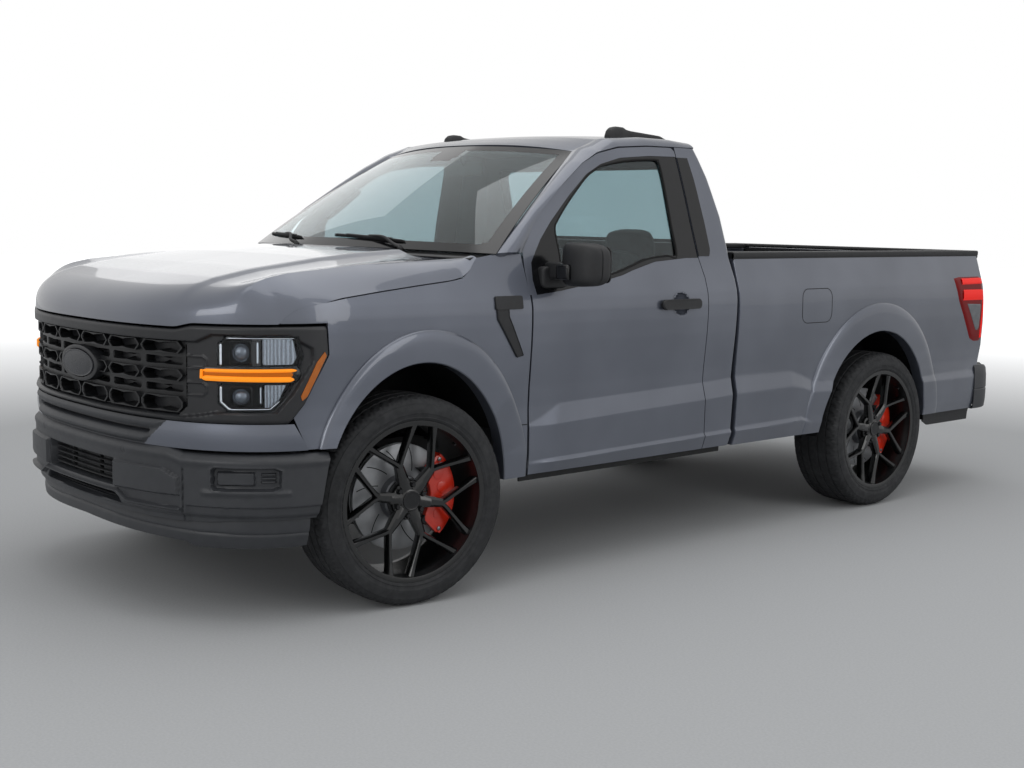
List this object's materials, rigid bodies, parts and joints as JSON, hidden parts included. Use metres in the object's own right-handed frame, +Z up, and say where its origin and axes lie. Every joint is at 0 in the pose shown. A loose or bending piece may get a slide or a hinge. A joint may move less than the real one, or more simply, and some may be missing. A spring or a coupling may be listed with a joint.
{
  "type": "pickup truck",
  "caption": "Regular-cab pickup truck, lowered, with an open load bed, forked-spoke wheels, opening doors, hood and tailgate, and steering front wheels.",
  "frame": {"origin": "on the ground under the middle of the truck's box", "axes": "+Z up, +Y to the rear, +X to the truck's left side"},
  "size_m": [2.39, 5.311, 1.95],
  "materials": {
    "paint": "metallic blue-grey gloss paint",
    "glass": "green-blue tinted glass",
    "satin_black": "satin dark grey paint and moulding",
    "mesh_black": "gloss black",
    "lens": "clear lens",
    "lamp_red": "red lens",
    "bed_liner": "metallic paint, duller",
    "frame_black": "black frame coating",
    "cast_grey": "as cast",
    "bare_metal": "turned and bare",
    "tyre": "matt black rubber",
    "wheel_black": "gloss black wheel paint",
    "seat_cloth": "dark grey cloth",
    "cabin_plastic": "dark grey moulding"
  },
  "bodies": {
    "body": {"arch_liners": "satin_black", "bed_rail_caps": "satin_black", "bed_side_left": "paint", "bed_side_right": "paint", "bed_tub": "bed_liner", "cab_shell": "paint", "chassis_frame": "frame_black", "chin_spoiler": "satin_black", "dashboard": "cabin_plastic", "engine": "cast_grey", "exhaust": "bare_metal", "fender_left": "paint", "fender_right": "paint", "front_bumper": "satin_black", "front_carrier": "frame_black", "front_suspension": "frame_black", "fuel_tank": "frame_black", "gearbox": "cast_grey", "grille_mesh": "mesh_black", "grille_surround": "satin_black", "headlamps": "lens", "leaf_springs": "frame_black", "propeller_shaft": "frame_black", "radiator": "bare_metal", "rear_axle": "frame_black", "rear_bumper": "satin_black", "rear_window": "glass", "roof_rails": "satin_black", "seats": "seat_cloth", "tail_lamps": "lamp_red", "valance": "paint", "windshield": "glass", "wipers": "satin_black"},
    "left_door": {"door_left": "paint", "door_glass_left": "glass", "door_trim_left": "satin_black"},
    "right_door": {"door_right": "paint", "door_glass_right": "glass", "door_trim_right": "satin_black"},
    "hood": {"hood": "paint"},
    "tailgate": {"tailgate": "paint"},
    "left_knuckle": {"knuckle_left": "cast_grey"},
    "right_knuckle": {"knuckle_right": "cast_grey"},
    "steering_wheel": {"steering_wheel": "cabin_plastic"},
    "wheel_front_left": {"tyre_front_left": "tyre", "rim_front_left": "wheel_black", "brake_disc_front_left": "bare_metal"},
    "wheel_front_right": {"tyre_front_right": "tyre", "rim_front_right": "wheel_black", "brake_disc_front_right": "bare_metal"},
    "wheel_rear_left": {"tyre_rear_left": "tyre", "rim_rear_left": "wheel_black", "brake_disc_rear_left": "bare_metal"},
    "wheel_rear_right": {"tyre_rear_right": "tyre", "rim_rear_right": "wheel_black", "brake_disc_rear_right": "bare_metal"}
  },
  "joints": [
    {"name": "steer_left", "type": "hinge", "parent": "body", "child": "left_knuckle", "pos_m": [0.768, -1.6925, 0.414], "axis": [0, 0, 1], "range_deg": [-23.4, 36.6]},
    {"name": "steer_right", "type": "hinge", "parent": "body", "child": "right_knuckle", "pos_m": [-0.768, -1.6925, 0.414], "axis": [0, 0, 1], "range_deg": [-23.4, 36.6]},
    {"name": "spin_front_left", "type": "hinge", "parent": "left_knuckle", "child": "wheel_front_left", "pos_m": [0.81171, -1.69756, 0.414], "axis": [0.9934, -0.1149, 0], "continuous": true},
    {"name": "spin_front_right", "type": "hinge", "parent": "right_knuckle", "child": "wheel_front_right", "pos_m": [-0.81171, -1.68744, 0.414], "axis": [0.9934, -0.1149, 0], "continuous": true},
    {"name": "spin_rear_left", "type": "hinge", "parent": "body", "child": "wheel_rear_left", "pos_m": [0.812, 1.4265, 0.414], "axis": [1, 0, 0], "continuous": true},
    {"name": "spin_rear_right", "type": "hinge", "parent": "body", "child": "wheel_rear_right", "pos_m": [-0.812, 1.4265, 0.414], "axis": [1, 0, 0], "continuous": true},
    {"name": "turn_steering_wheel", "type": "hinge", "parent": "body", "child": "steering_wheel", "pos_m": [0.37758, -0.7532, 1.218], "axis": [0, 0.9119, 0.4104], "range_deg": [-327.6, 512.4]},
    {"name": "open_left_door", "type": "hinge", "parent": "body", "child": "left_door", "pos_m": [0.958, -1.1255, 0.9], "axis": [0, 0, -1], "range_deg": [0, 65]},
    {"name": "open_right_door", "type": "hinge", "parent": "body", "child": "right_door", "pos_m": [-0.958, -1.1255, 0.9], "axis": [0, 0, 1], "range_deg": [0, 65]},
    {"name": "open_hood", "type": "hinge", "parent": "body", "child": "hood", "pos_m": [0, -1.49, 1.352], "axis": [-1, 0, 0], "range_deg": [0, 50]},
    {"name": "open_tailgate", "type": "hinge", "parent": "body", "child": "tailgate", "pos_m": [0, 2.4055, 0.824], "axis": [-1, 0, 0], "range_deg": [0, 90]}
  ],
  "couplings": [
    {"joint": "steer_right", "follows": "steer_left", "ratio": 1},
    {"joint": "turn_steering_wheel", "follows": "steer_left", "ratio": 14}
  ]
}
